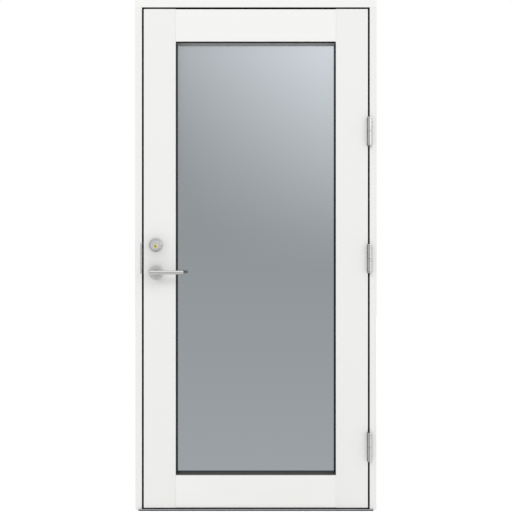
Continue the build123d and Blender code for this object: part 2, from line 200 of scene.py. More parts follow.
def centre_of(node):
    """The middle of a solid's box."""
    low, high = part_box(node)
    return (low + high) / 2


splash_height = 0.22
spindle = centre_of("lever_spindle")
handle_x, lever_z = spindle.x, spindle.z
cylinder_z = centre_of("cylinder_ring_outer").z
shade_and_dirt_colour = (0.50, 0.50, 0.485, 1)
# Each spot of painted shade round the lever, rose and key ring has its x and z, how far it reaches and how
# strong it is.
painted_shade_spots = (
    (handle_x - 0.010, lever_z - 0.013, 0.050, 0.40),
    (handle_x, cylinder_z - 0.007, 0.045, 0.50),
    (handle_x, (lever_z + cylinder_z) / 2, 0.110, 0.09),
)


def sprayed_timber(name, along, tone):
    """White paint on timber whose grain runs along one axis."""
    paint = Finish(name, {"Specular IOR Level": 0.5, "Coat Weight": 0.08, "Coat Roughness": 0.25})
    ridges = paint.noise(paint.stretched(drawn_out(along, 240, 5)), 1, 4, 0.62)
    peel = paint.noise(paint.place, 620, 2)
    clouds = paint.noise(paint.place, 2.3, 3)
    splash = paint.axis("Z").short_of(splash_height, 1 / splash_height) * paint.noise(paint.place, 34, 5)
    shade = clouds * 0.35 + ridges * 0.25 + splash * 0.05
    light, shaded = (tone, tone, tone - 0.017, 1), (tone - 0.04, tone - 0.04, tone - 0.058, 1)
    # Painted shade round the fittings, mixed with a trace of the rain splash's dirt.
    dirt_and_painted_shade = splash * 0.01
    for x, z, reach, strength in painted_shade_spots:
        aside, above = paint.axis("X", (x, 0, 0)), paint.axis("Z", (0, 0, z))
        dirt_and_painted_shade = dirt_and_painted_shade + ((aside * aside + above * above) * reach**-2).fading() * strength
    paint.feed("Base Color", paint.tint(dirt_and_painted_shade, paint.tint(shade, light, shaded), shade_and_dirt_colour))
    paint.feed("Roughness", 0.33 + peel * 0.10 + ridges * 0.08 + splash * 0.2)
    paint.relief(ridges * 0.6 + peel * 0.4, 0.00016)
    return paint


# The uprights' paint is set darker than the level members': painted shade, as both are one paint.
upright_tone_painted_shade, level_tone = 0.838, 0.868
paint_upright = sprayed_timber("white_paint_upright", 2, upright_tone_painted_shade)
paint_level = sprayed_timber("white_paint_level", 0, level_tone)
dress(paint_upright, "frame_jamb_lock", "frame_jamb_hinge", "leaf_stile_lock", "leaf_stile_hinge")
dress(paint_upright, "glazing_bead_lock", "glazing_bead_hinge")
dress(paint_level, "frame_head", "leaf_rail_top", "leaf_rail_bottom")
dress(paint_level, "glazing_bead_top", "glazing_bead_bottom")


# A near-black flocked strip with a ribbed back is stuck to the frame's edge inside the gap round the leaf.
# It stands in for the shade inside the gap, so the gap reads black from outside: a painted shade. It stops
# short at the hinges and the strike plate.
def outwards(name, mesh):
    """Turns a built mesh into mesh data whose faces point outwards."""
    bmesh.ops.recalc_face_normals(mesh, faces=mesh.faces)
    data = bpy.data.meshes.new(name)
    mesh.to_mesh(data)
    mesh.free()
    return data


def finished(name, mesh, finish, body, smooth_below=35):
    """Turns a built mesh into a piece that rides on a body."""
    data = outwards(name, mesh)
    data.shade_smooth()
    data.set_sharp_from_angle(angle=math.radians(smooth_below))
    data.materials.append(finish.material)
    made = bpy.data.objects.new(name, data)
    bpy.context.scene.collection.objects.link(made)
    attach(made, body)
    return made


def wall(mesh, ring, following):
    """Adds the faces between two rings of as many points."""
    for i in range(len(ring)):
        mesh.faces.new((ring[i - 1], ring[i], following[i], following[i - 1]))


def bar(mesh, section, start, end, aside, up):
    """Adds a straight closed bar: an outline in aside and up, drawn from start to end."""
    first, last = ([mesh.verts.new(at + aside * u + up * v) for u, v in section] for at in (start, end))
    wall(mesh, first, last)
    mesh.faces.new(first)
    mesh.faces.new(last)


def grey(level):
    return (level, level, level, 1)


def black_rubber(name, along):
    """Matt extruded rubber with draw lines along one axis."""
    rubber = Finish(name, {"Specular IOR Level": 0.35})
    lines = rubber.noise(rubber.stretched(drawn_out(along, 1500, 12)), 1, 2)
    dust = rubber.noise(rubber.place, 90, 5, 0.65)
    rubber.feed("Base Color", rubber.tint(dust * 0.5 + lines * 0.3, grey(0.006), (0.022, 0.022, 0.021, 1)))
    rubber.feed("Roughness", 0.48 + lines * 0.15 + dust * 0.15)
    rubber.relief(lines, 0.0001)
    return rubber


rubber_upright = black_rubber("black_rubber_upright", 2)
rubber_level = black_rubber("black_rubber_level", 0)

# The flock's near-black is painted shade for the gaps round and under the leaf.
shade_flock = Finish("gap_shade_flock", {"Specular IOR Level": 0, "Roughness": 1})
pile = shade_flock.noise(shade_flock.place, 2600, 2)
shade_flock.feed("Base Color", shade_flock.tint(pile, grey(0.0015), grey(0.006)))
shade_flock.relief(pile, 0.0002)

jamb_x = -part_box("strike_plate")[1].x
gap = jamb_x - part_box("leaf_stile_hinge")[1].x
gap_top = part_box("leaf_stile_lock")[1].z + gap
strip_from_face = 0.0006
strip_width = 0.040
strip_thick = 0.0012
strip_hollow = strip_thick * 0.55
strip_ribs = 8
strip_end_room = 0.002
threshold_top = 0.005
strip_foot_room = 0.001


def ribbed_section():
    """The strip's outline: (across the frame's depth, off its surface), with a rib between hollows."""
    pitch = strip_width / strip_ribs
    points = [(0, 0)]
    for rib in range(strip_ribs):
        low, high = rib * pitch, (rib + 1) * pitch
        points += [(low, strip_thick), (high - pitch * 0.45, strip_thick)]
        points += [(high - pitch * 0.3, strip_hollow), (high - pitch * 0.1, strip_hollow)]
    return points + [(strip_width, strip_hollow), (strip_width, 0)]


def spans_between(low, high, blocked):
    """The free lengths from low to high, with room left round each blocked one."""
    edges = [low]
    for start, end in sorted(blocked):
        edges += [start - strip_end_room, end + strip_end_room]
    edges.append(high)
    return list(zip(edges[::2], edges[1::2]))


hinge_places = ("top", "middle", "bottom")
hinge_spans = [
    (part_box(f"hinge_frame_half_{place}")[0].z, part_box(f"hinge_leaf_half_{place}")[1].z)
    for place in hinge_places
]
strike_low, strike_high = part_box("strike_plate")
strip_y = face_y + strip_from_face
for name, side, blocked in (
    ("weather_strip_hinge", 1, hinge_spans),
    ("weather_strip_lock", -1, [(strike_low.z, strike_high.z)]),
):
    mesh = bmesh.new()
    for low, high in spans_between(threshold_top + strip_foot_room, gap_top - strip_thick, blocked):
        start, end = Vector((side * jamb_x, strip_y, low)), Vector((side * jamb_x, strip_y, high))
        bar(mesh, ribbed_section(), start, end, Vector((0, 1, 0)), Vector((-side, 0, 0)))
    finished(name, mesh, shade_flock, "frame")
mesh = bmesh.new()
start, end = Vector((-jamb_x, strip_y, gap_top)), Vector((jamb_x, strip_y, gap_top))
bar(mesh, ribbed_section(), start, end, Vector((0, 1, 0)), Vector((0, 0, -1)))
finished("weather_strip_head", mesh, shade_flock, "frame")


# Rubber seals lie in the frame's rebate behind the leaf: a soft bulb on a flat foot, welded at the corners.
# A shorter one lies on the threshold's upstand.
def rounded(outline, radius, steps=3):
    """A closed outline with its corners rounded by as much as radius."""
    points = []
    for i, corner in enumerate(outline):
        here, before, after = Vector(corner), Vector(outline[i - 1]), Vector(outline[(i + 1) % len(outline)])
        cut = min(radius, (before - here).length / 2, (after - here).length / 2)
        first, last = here + (before - here).normalized() * cut, here + (after - here).normalized() * cut
        for step in range(steps + 1):
            t = step / steps
            points.append(first * (1 - t) ** 2 + here * (2 * t * (1 - t)) + last * t**2)
    return [tuple(point) for point in points]


def corners_round(half_width, low, high, foot):
    """The corners of a moulding round an opening, as (x, z, way out in x, way out in z).
    The foot is -1 for a moulding that runs on under the opening, and 0 for one that ends there."""
    return [
        (-half_width, low, -1, foot),
        (-half_width, high, -1, 1),
        (half_width, high, 1, 1),
        (half_width, low, 1, foot),
    ]


def mitred(mesh, section, corners, y, closed=True):
    """Adds a moulding along its corners. The section gives how far outwards and how deep
    each of its points lies."""
    rings = [
        [mesh.verts.new((x + out_x * out, y + deep, z + out_z * out)) for out, deep in section]
        for x, z, out_x, out_z in corners
    ]
    for ring, following in zip(rings, rings[1:]):
        wall(mesh, ring, following)
    if closed:
        wall(mesh, rings[-1], rings[0])
    else:
        mesh.faces.new(rings[0])
        mesh.faces.new(rings[-1])


def seal_section(width, height):
    """A flat foot on the frame with a rounded bulb towards the leaf, as (outwards, towards the room)."""
    foot, waist = height * 0.28, width * 0.2
    bulge = waist * 0.4
    bulb = [(waist, -foot), (bulge, -height), (width - bulge, -height), (width - waist, -foot)]
    return [(0, 0), (0, -foot), *rounded(bulb, height * 0.42, 5), (width, -foot), (width, 0)]


seal_low, seal_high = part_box("frame_seal")
seal_width = 0.007
seal_height = seal_high.y - seal_low.y
seal_corners = corners_round(seal_high.x - seal_width, seal_low.z, seal_high.z - seal_width, 0)
mesh = bmesh.new()
mitred(mesh, seal_section(seal_width, seal_height), seal_corners, seal_high.y, closed=False)
seal = finished("seal_frame", mesh, rubber_upright, "frame")
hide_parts("frame_seal")

low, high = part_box("threshold_seal")
mesh = bmesh.new()
start, end = Vector((low.x, high.y, low.z)), Vector((high.x, high.y, low.z))
bar(mesh, seal_section(high.z - low.z, seal_height), start, end, Vector((0, 0, 1)), Vector((0, 1, 0)))
seal = finished("seal_threshold", mesh, rubber_level, "frame")
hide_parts("threshold_seal")


# A black brush closes most of the slit under the leaf. It stands in a flat carrier, which is painted white
# and fixed under the bottom rail, and runs on under both stiles.
# Its near-black flock stands in for the shade in the slit under the leaf: a painted shade.
brush_room, brush_high = 0.0008, 0.0125
brush_half = 0.452
brush_front, brush_back = face_y + 0.004, face_y + 0.012
brush_teeth, tooth_step = 226, 0.0004
brush_low = threshold_top + brush_room
tips = [
    (brush_half * (2 * i / (brush_teeth - 1) - 1), brush_low + (tooth_step if i % 2 else 0))
    for i in range(brush_teeth)
]
outline = [(brush_half, brush_high), *reversed(tips), (-brush_half, brush_high)]
mesh = bmesh.new()
start, end = Vector((0, brush_front, 0)), Vector((0, brush_back, 0))
bar(mesh, outline, start, end, Vector((1, 0, 0)), Vector((0, 0, 1)))
finished("bottom_brush", mesh, shade_flock, "leaf")

carrier_half, carrier_width, carrier_drop = 0.327, 0.014, 0.0012
carrier_from_face, carrier_edge = 0.0004, 0.0003
carrier_y, rail_z = face_y + carrier_from_face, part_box("leaf_rail_bottom")[0].z
outline = [(0, 0), (carrier_width, 0), (carrier_width, -carrier_drop), (0, -carrier_drop)]
mesh = bmesh.new()
start, end = Vector((-carrier_half, carrier_y, rail_z)), Vector((carrier_half, carrier_y, rail_z))
bar(mesh, rounded(outline, carrier_edge), start, end, Vector((0, 1, 0)), Vector((0, 0, 1)))
finished("brush_carrier", mesh, paint_level, "leaf")


# The threshold is an anodised aluminium extrusion: its draw lines run the width of the door. Its top in front
# of the leaf is coloured far lighter than its nose, a painted light from above, and under the leaf it is
# near-black, painted shade. An oiled hardwood block behind it carries the step to the room's floor.
tread_from, nose_in_front = 0.0042, 0.0012
anodised = Finish("threshold_aluminium", {"Metallic": 0.35})
draw_lines = anodised.noise(anodised.stretched((8, 2400, 2400)), 1, 3)
scuffs = anodised.noise(anodised.stretched((22, 60, 60)), 1, 6, 0.7)
# Painted light on the top in front of the leaf, painted shade on the nose and under the leaf.
top_light_and_leaf_shade = anodised.axis("Z").past(tread_from, 1500) * anodised.axis("Y").short_of(face_y - nose_in_front, 900)
anodised.feed("Base Color", anodised.tint(top_light_and_leaf_shade * 0.85 + scuffs * 0.15, grey(0.014), grey(0.62)))
anodised.feed("Roughness", 0.30 + draw_lines * 0.18 + scuffs * 0.12)
anodised.relief(draw_lines, 0.00008)
dress(anodised, "threshold_plate")


def head_form(name, radius, rise, lobes, recess, deep, steps=48):
    """A screw's head or a cap: slightly domed, with a lobed recess, its own Z pointing outwards."""
    mesh = bmesh.new()
    angles = [2 * math.pi * i / steps for i in range(steps)]
    edge = min(rise, radius * 0.2)
    lobe_depth = 0.11
    levels = [
        (radius, 0, -deep - rise),
        (radius, 0, rise - edge),
        (radius - edge * 1.2, 0, rise - edge * 0.15),
        (recess * 1.15, 0, rise),
        (recess, lobes, rise * 0.9),
        (recess * 0.92, lobes, -deep),
    ]
    rings = []
    for size, waves, level in levels:
        sizes = [size * (1 + lobe_depth * math.cos(waves * angle)) if waves else size for angle in angles]
        spots = zip(sizes, angles)
        rings.append([mesh.verts.new((s * math.cos(a), s * math.sin(a), level)) for s, a in spots])
    for ring, following in zip(rings, rings[1:]):
        wall(mesh, ring, following)
    mesh.faces.new(rings[0])
    mesh.faces.new(rings[-1])
    return outwards(name, mesh)


def as_mesh(made):
    """The mesh that an object's modifiers leave."""
    return bpy.data.meshes.new_from_object(made.evaluated_get(bpy.context.evaluated_depsgraph_get()))


def repeated(name, form, places, finish, body, chance):
    """Sets a form at each (place, way out), turned by a seeded chance, all in one piece of a body."""
    model = bpy.data.objects.new(name + "_form", form)
    bpy.context.scene.collection.objects.link(model)
    points = bpy.data.meshes.new(name + "_places")
    points.from_pydata([place for place, way in places], [], [])
    ways = points.attributes.new("way_out", "FLOAT_VECTOR", "POINT")
    for spot, (place, way) in zip(ways.data, places):
        spot.vector = way
    holder = bpy.data.objects.new(name + "_places", points)
    bpy.context.scene.collection.objects.link(holder)

    tree = bpy.data.node_groups.new(name, "GeometryNodeTree")
    tree.interface.new_socket("Places", in_out="INPUT", socket_type="NodeSocketGeometry")
    given = {}
    for title, kind, value in (
        ("Form", "Object", model),
        ("Chance", "Int", chance),
        ("Finish", "Material", finish.material),
    ):
        socket = tree.interface.new_socket(title, in_out="INPUT", socket_type="NodeSocket" + kind)
        given[socket.identifier] = value
    tree.interface.new_socket("Pieces", in_out="OUTPUT", socket_type="NodeSocketGeometry")
    set_out = Recipe(tree)
    at = set_out.node("NodeGroupInput", out="Places")
    asked = {title: Value(set_out, at.socket.node.outputs[title]) for title in ("Form", "Chance", "Finish")}
    shape = set_out.node("GeometryNodeObjectInfo", {}, {"Object": asked["Form"]}, "Geometry")
    vectors, stored = {"data_type": "FLOAT_VECTOR"}, {"Name": "way_out"}
    way = set_out.node("GeometryNodeInputNamedAttribute", vectors, stored, "Attribute")
    turn = set_out.node("FunctionNodeAlignRotationToVector", {"axis": "Z"}, {"Vector": way})
    placed = {"Points": at, "Instance": shape, "Rotation": turn}
    copies = set_out.node("GeometryNodeInstanceOnPoints", {}, placed)
    any_angle = {"Min": 0.0, "Max": 2 * math.pi, "Seed": asked["Chance"]}
    angle = set_out.node("FunctionNodeRandomValue", {"data_type": "FLOAT"}, any_angle)
    about = set_out.node("ShaderNodeCombineXYZ", {}, {"Z": angle})
    spun = {"Instances": copies, "Rotation": about, "Local Space": True}
    copies = set_out.node("GeometryNodeRotateInstances", {}, spun)
    real = set_out.node("GeometryNodeRealizeInstances", {}, {"Geometry": copies})
    coated = set_out.node("GeometryNodeSetMaterial", {}, {"Geometry": real, "Material": asked["Finish"]})
    set_out.node("NodeGroupOutput", {}, {"Pieces": coated})

    step = holder.modifiers.new("set_out", "NODES")
    step.node_group = tree
    for identifier, value in given.items():
        step[identifier] = value
    mesh = bmesh.new()
    mesh.from_mesh(as_mesh(holder))
    holder.modifiers.clear()
    bpy.data.objects.remove(holder)
    bpy.data.objects.remove(model)
    return finished(name, mesh, finish, body)


screw_steel = Finish("screw_zinc", {"Metallic": 1})
plating = screw_steel.noise(screw_steel.place, 700, 4, 0.6)
screw_steel.feed("Base Color", screw_steel.tint(plating, (0.55, 0.55, 0.53, 1), (0.42, 0.42, 0.41, 1)))
screw_steel.feed("Roughness", 0.30 + plating * 0.2)
drive = {"lobes": 6, "deep": 0.0016}
threshold_screw_x = (-0.40, -0.135, 0.135, 0.40)
threshold_screw_y = -0.044
threshold_head = head_form("threshold_screw_head", radius=0.0042, rise=0.0006, recess=0.0021, **drive)
places = [((x, threshold_screw_y, threshold_top), (0, 0, 1)) for x in threshold_screw_x]
repeated("threshold_screws", threshold_head, places, screw_steel, "frame", 3)

hardwood = Finish("threshold_hardwood", {"Specular IOR Level": 0.4})
ring_lean, ring_wander, ring_density = 0.45, 0.02, 900
fibres = hardwood.noise(hardwood.stretched((9, 420, 420)), 1, 5, 0.6)
wander = hardwood.noise(hardwood.stretched((1.6, 12, 12)), 1, 2)
across_rings = hardwood.axis("Y") + hardwood.axis("Z") * ring_lean + wander * ring_wander
year_rings = (across_rings * ring_density).wave() * 0.5 + 0.5
pores = (hardwood.noise(hardwood.stretched((60, 1900, 1900)), 1, 2) - 0.62).within(0, 1) * 2.5
grain = year_rings * 0.45 + fibres * 0.4 + pores
hardwood.feed("Base Color", hardwood.tint(grain, (0.36, 0.19, 0.085, 1), (0.19, 0.085, 0.035, 1)))
hardwood.feed("Roughness", 0.38 + fibres * 0.2 + pores * 0.2)
hardwood.relief(fibres * 0.5 - pores, 0.0002)
dress(hardwood, "threshold_block")


# Three lift-off hinges, turned from steel and plated in satin nickel. The lower half is let into the jamb and
# holds the pin, the upper half is let into the leaf's edge, and a dark nylon ring runs between the two.
def turned(mesh, profile, centre, along, steps=64):
    """Adds a lathe-turned form. The profile runs from axis to axis as (radius, distance along)."""
    along = Vector(along).normalized()
    aside = Vector((1, 0, 0)) if abs(along.x) < 0.5 else Vector((0, 1, 0))
    third = along.cross(aside).normalized()
    aside = third.cross(along)
    angles = [2 * math.pi * i / steps for i in range(steps)]
    spokes = [aside * math.cos(angle) + third * math.sin(angle) for angle in angles]
    rings = []
    for radius, distance in profile:
        at = Vector(centre) + along * distance
        rings.append([mesh.verts.new(at + spoke * radius) for spoke in (spokes if radius else spokes[:1])])
    for ring, following in zip(rings, rings[1:]):
        if len(ring) == len(following):
            wall(mesh, ring, following)
        elif len(ring) == 1:
            for i in range(steps):
                mesh.faces.new((ring[0], following[i], following[i - 1]))
        else:
            for i in range(steps):
                mesh.faces.new((ring[i - 1], ring[i], following[0]))


def turned_ring(mesh, outline, centre, along, steps=64):
    """Adds a lathe-turned ring. Its closed outline stays clear of the axis."""
    turned(mesh, [*outline, outline[0]], centre, along, steps)
    bmesh.ops.remove_doubles(mesh, verts=mesh.verts, dist=0.000001)


def curve_in(points, radius, steps=4):
    """An open profile with its inner corners rounded by as much as radius."""
    around = rounded(points, radius, steps)
    return [points[0], *around[steps + 1 : -steps - 1], points[-1]]


barrel_shade_x = 0.4566
nickel = Finish("hinge_satin_nickel", {"Metallic": 1})
turning = nickel.noise(nickel.stretched((20, 20, 5200)), 1, 2)
handling = nickel.noise(nickel.place, 130, 5, 0.6)
# The side of each barrel towards the leaf is coloured dark: painted shade.
barrel_painted_shade = nickel.axis("X").short_of(barrel_shade_x, 700)
tone = handling * 0.3 + barrel_painted_shade * (0.58 + handling * 0.2)
nickel.feed("Base Color", nickel.tint(tone, (0.60, 0.60, 0.595, 1), grey(0.06)))
nickel.feed("Roughness", 0.26 + turning * 0.10 + handling * 0.10 + barrel_painted_shade * 0.2)
nickel.relief(turning, 0.00004)

nylon = Finish("hinge_nylon", {"Base Color": grey(0.02), "Specular IOR Level": 0.3})
nylon.feed("Roughness", 0.4 + nylon.noise(nylon.place, 900) * 0.2)

steel = Finish("pin_ground_steel", {"Metallic": 1})
grinding = steel.noise(steel.stretched((60, 60, 3000)), 1, 2)
steel.feed("Base Color", steel.tint(grinding, grey(0.46), grey(0.38)))
steel.feed("Roughness", 0.22 + grinding * 0.14)
dress(steel, "hinge_pin_top", "hinge_pin_middle", "hinge_pin_bottom", "lever_spindle")

barrel_low, barrel_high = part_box("hinge_leaf_half_top")
barrel_radius = (barrel_high.x - barrel_low.x) / 2
bore_radius = 0.0051
bore_cap = 0.007
flag_thick = 0.003
split_room = 0.001
ring_play = 0.0001
ring_set_in = 0.0007
cap_flat_edge, cap_side, cap_round = 0.0006, 0.0024, 0.0018
groove_from_end, groove_half, groove_deep = 0.0062, 0.0004, 0.0005
socket_radius = 0.0023
socket_deep = 0.0022


def knuckle_profile(length):
    """One hinge half from its domed cap to the split, with its bore, a groove and a socket in the cap."""
    cap = [(socket_radius, 0), (barrel_radius - cap_flat_edge, 0), (barrel_radius, cap_side)]
    return [
        (0, socket_deep),
        (socket_radius, socket_deep),
        *curve_in(cap, cap_round, 5),
        (barrel_radius, groove_from_end - groove_half),
        (barrel_radius - groove_deep, groove_from_end),
        (barrel_radius, groove_from_end + groove_half),
        (barrel_radius, length),
        (bore_radius, length),
        (bore_radius, bore_cap),
        (0, bore_cap),
    ]


for place, (low, high) in zip(hinge_places, hinge_spans):
    knuckle = (high - low - split_room) / 2
    pin = centre_of(f"hinge_pin_{place}")
    flag_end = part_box(f"hinge_frame_half_{place}")[1].y
    for body, start, way, edge_x in (("frame", low, 1, jamb_x), ("leaf", high, -1, jamb_x - gap)):
        mesh = bmesh.new()
        turned(mesh, knuckle_profile(knuckle), (pin.x, pin.y, start), (0, 0, way))
        flag_low = min(start, start + way * knuckle)
        flag = [(pin.y, 0), (flag_end, 0), (flag_end, flag_thick), (pin.y, flag_thick)]
        foot, head = Vector((edge_x, 0, flag_low)), Vector((edge_x, 0, flag_low + knuckle))
        bar(mesh, flag, foot, head, Vector((0, 1, 0)), Vector((way, 0, 0)))
        hinge = finished(f"hinge_{body}_half_{place}_turned", mesh, nickel, body)
        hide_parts(f"hinge_{body}_half_{place}")
    ring_foot, ring_top, ring_edge = -split_room / 2, split_room / 2 - ring_play, barrel_radius - ring_set_in
    ring = [(bore_radius, ring_foot), (ring_edge, ring_foot), (ring_edge, ring_top), (bore_radius, ring_top)]
    mesh = bmesh.new()
    turned_ring(mesh, ring, (pin.x, pin.y, (low + high) / 2), (0, 0, 1))
    finished(f"hinge_ring_{place}", mesh, nylon, "frame")

hinge_head = head_form("hinge_screw_head", radius=0.0038, rise=0.0003, recess=0.0019, **drive)
# Each screw of a flag has its depth and its distance from the middle of the hinge.
hinge_screw_spots = ((-0.0300, 0.012), (-0.0465, 0.030), (-0.0300, 0.048))
for body, edge_x, way in (("frame", jamb_x, -1), ("leaf", jamb_x - gap, 1)):
    places = [
        ((edge_x, y, (low + high) / 2 + way * (split_room / 2 + distance)), (way, 0, 0))
        for low, high in hinge_spans
        for y, distance in hinge_screw_spots
    ]
    repeated(f"hinge_screws_{body}", hinge_head, places, screw_steel, body, 5)


# The lock's faceplate, its two bolts and the strike plate are brushed stainless steel, pressed and milled.
# The strike's lip comes round to the jamb's face, where it shows beside the gap. The rest of it, back in
# the gap, is coloured near-black: painted shade.
def brushed_steel(name):
    """Stainless steel with the marks of the brush along Z. Its colour and gloss are still to be given."""
    metal = Finish(name, {"Metallic": 1})
    metal.brushing = metal.noise(metal.stretched((2600, 2600, 30)), 1, 3)
    metal.relief(metal.brushing, 0.00005)
    return metal


stainless = brushed_steel("lock_stainless")
rubbing = stainless.noise(stainless.place, 75, 5, 0.65)
stainless.feed("Base Color", stainless.tint(rubbing, (0.66, 0.66, 0.65, 1), (0.56, 0.56, 0.55, 1)))
stainless.feed("Roughness", 0.28 + stainless.brushing * 0.14 + rubbing * 0.08)
dress(stainless, "lock_faceplate", "latch_bolt", "dead_bolt")

strike_lip_thick = 0.0012
strike_steel = brushed_steel("strike_stainless")
gap_painted_shade = strike_steel.axis("Y").past(face_y + strike_lip_thick, 600)
gap_shade_and_brushing = gap_painted_shade * 0.9 + strike_steel.brushing * 0.1
strike_steel.feed("Base Color", strike_steel.tint(gap_shade_and_brushing, (0.68, 0.68, 0.67, 1), (0.07, 0.07, 0.068, 1)))
strike_steel.feed("Roughness", 0.28 + strike_steel.brushing * 0.14 + gap_painted_shade * 0.1)
dress(strike_steel, "strike_plate")

lock_head = head_form("lock_screw_head", radius=0.0039, rise=0.0003, recess=0.0019, **drive)
screw_behind_middle, low_screw_inset, high_screw_inset = 0.0115, 0.0093, 0.0127
strike_screw_y = (strike_low.y + strike_high.y) / 2 + screw_behind_middle
strike_screw_z = (strike_low.z + low_screw_inset, strike_high.z - high_screw_inset)
places = [((-jamb_x, strike_screw_y, z), (1, 0, 0)) for z in strike_screw_z]
repeated("strike_screws", lock_head, places, screw_steel, "frame", 7)

plate_low, plate_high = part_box("lock_faceplate")
plate_screw_inset = 0.011
leaf_back_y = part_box("leaf_stile_lock")[1].y
edge_bevel = 0.003
edge_slope = edge_bevel / (leaf_back_y - face_y)
edge_way = Vector((-1, edge_slope, 0)).normalized()
plate_y = (plate_low.y + plate_high.y) / 2
plate_x = gap - jamb_x + (plate_y - face_y) * edge_slope
plate_screw_z = (plate_low.z + plate_screw_inset, plate_high.z - plate_screw_inset)
places = [((plate_x, plate_y, z), edge_way) for z in plate_screw_z]
repeated("faceplate_screws", lock_head, places, screw_steel, "leaf", 9)


# White plastic caps close the holes of the eight screws that fix the jambs to the wall.
# The beads are pinned to the leaf: filler and paint cover the pins, and leave small round marks.
plastic = Finish("cap_plastic", {"Base Color": (0.84, 0.84, 0.82, 1), "Specular IOR Level": 0.5})
plastic.feed("Roughness", 0.32 + plastic.noise(plastic.place, 800, 3) * 0.12)
cap = head_form("frame_cap_form", radius=0.0068, rise=0.0005, lobes=0, recess=0.0012, deep=0.0002)
cap_y = -0.0055
cap_heights = (0.150, 0.700, 1.350, 1.900)
places = [((side * jamb_x, cap_y, z), (-side, 0, 0)) for side in (-1, 1) for z in cap_heights]
repeated("frame_screw_caps", cap, places, plastic, "frame", 11)

mark = head_form("bead_pin_form", radius=0.0013, rise=0.0001, lobes=0, recess=0.0004, deep=0.0001, steps=16)
bead_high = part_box("glazing_bead_hinge")[1]
pin_inset = 0.0045
bead_x = bead_high.x - pin_inset
bead_low_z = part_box("glazing_bead_bottom")[0].z + pin_inset
bead_top_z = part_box("glazing_bead_top")[1].z - pin_inset
upright_pins, level_pins = 8, 3
pins = [
    (side * bead_x, bead_low_z + (bead_top_z - bead_low_z) * (i + 0.5) / upright_pins)
    for side in (-1, 1)
    for i in range(upright_pins)
]
pins += [
    (bead_x * (2 * i + 1 - level_pins) / level_pins, z)
    for z in (bead_low_z, bead_top_z)
    for i in range(level_pins)
]
places = [((x, bead_high.y, z), (0, 1, 0)) for x, z in pins]
repeated("bead_pin_marks", mark, places, paint_upright, "leaf", 13)


# The glazing is a sealed double unit. Its outer pane has a metal coating, so from outdoors it works as a
# grey-blue mirror. A grey band coloured along its top is a painted stand-in for the reveal seen in the glass.
# The inner pane is clear float glass.
# A dark spacer bar holds them apart at the edge, and an inner gasket seals them to the beads.
coated = Finish("coated_glass", {"Roughness": 0.012, "Specular IOR Level": 0})
film_from, painted_band_deep = 1.15, 0.0217
pane_low, pane_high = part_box("glass_outer_pane")
rolling = coated.noise(coated.stretched((2.2, 1, 1.1)), 1, 1)
film = coated.axis("Z").past(film_from, 1.3)
# The grey band along the top is a painted view of the reveal in the glass.
painted_reveal_band = coated.axis("Z").past(pane_high.z - painted_band_deep, 1500)
coated.feed("Base Color", coated.tint(painted_reveal_band, (0.618, 0.664, 0.698, 1), (0.36, 0.365, 0.37, 1)))
coated.feed("Metallic", (1 - film * 0.16) * (1 - painted_reveal_band))
coated.relief(rolling, 0.0004)
dress(coated, "glass_outer_pane")

float_glass = {"Base Color": (0.93, 0.97, 0.95, 1), "Roughness": 0, "IOR": 1.5, "Transmission Weight": 1}
dress(Finish("clear_glass", float_glass), "glass_inner_pane")

spacer = Finish("spacer_bar_finish", {"Metallic": 0.8})
dot_pitch = 0.0045
along_bar = ((spacer.axis("X") + spacer.axis("Z")) * (2 * math.pi / dot_pitch)).wave()
across_bar = (spacer.axis("Y") * (2 * math.pi / dot_pitch)).wave()
dots = (along_bar * across_bar - 0.45).within(0, 1) * 1.8
spacer.feed("Base Color", spacer.tint(dots, (0.16, 0.16, 0.165, 1), grey(0.02)))
spacer.feed("Roughness", 0.42 + dots * 0.2)
spacer.relief(0 - dots, 0.0004)
dress(spacer, "glass_spacer")
dress(rubber_level, "glazing_gasket")


# A black rubber lining is drawn round the outer pane and welded at its corners. It hides the leaf's rebate
# and laps over the edge of the glass. Its lower ledge is coloured a lighter grey, and a grey band under its
# top is a painted lit edge.
unit_low, unit_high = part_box("glazing_gasket")
glass_cover = 0.012
half_open = unit_high.x - glass_cover
open_low, open_high = unit_low.z + glass_cover, unit_high.z - glass_cover
lining_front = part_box("glazing_lining")[0].y
lining_depth = pane_low.y - lining_front
lining_thick = 0.003
lip_deep = 0.0024
lining_set_in, lining_edge = 0.0002, 0.0012
groove_floor = -lining_thick * 0.8
lining_section = [
    (0, lining_set_in),
    (-lining_edge, lining_set_in),
    (-lining_thick, lining_edge),
    (-lining_thick, lining_depth * 0.30),
    (groove_floor, lining_depth * 0.33),
    (groove_floor, lining_depth * 0.62),
    (-lining_thick, lining_depth * 0.66),
    (-lining_thick, lining_depth - lip_deep),
    (-lining_thick, lining_depth - 0.0003),
    (-lining_edge, lining_depth),
    (glass_cover, lining_depth),
    (glass_cover, lining_depth - lip_deep),
    (0, lining_depth - lip_deep),
]
ledge_high, lip_painted_light_high, lip_painted_light_from_face = 0.0045, 0.006, 0.0150
lining_rubber = black_rubber("lining_rubber", 0)
height, depth = lining_rubber.axis("Z"), lining_rubber.axis("Y")
# The lower ledge is coloured lighter; the grey band under the top is painted light.
lighter_ledge = height.short_of(open_low + ledge_high, 600)
lip_painted_light = height.past(open_high - lip_painted_light_high, 900) * depth.past(face_y + lip_painted_light_from_face, 900)
lining_with_lighter_ledge = lining_rubber.tint(lighter_ledge, grey(0.012), (0.100, 0.100, 0.098, 1))
lining_rubber.feed("Base Color", lining_rubber.tint(lip_painted_light, lining_with_lighter_ledge, grey(0.40)))

mesh = bmesh.new()
mitred(mesh, lining_section, corners_round(half_open, open_low, open_high, -1), lining_front)
lining = finished("glazing_lining_drawn", mesh, lining_rubber, "leaf")
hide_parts("glazing_lining")


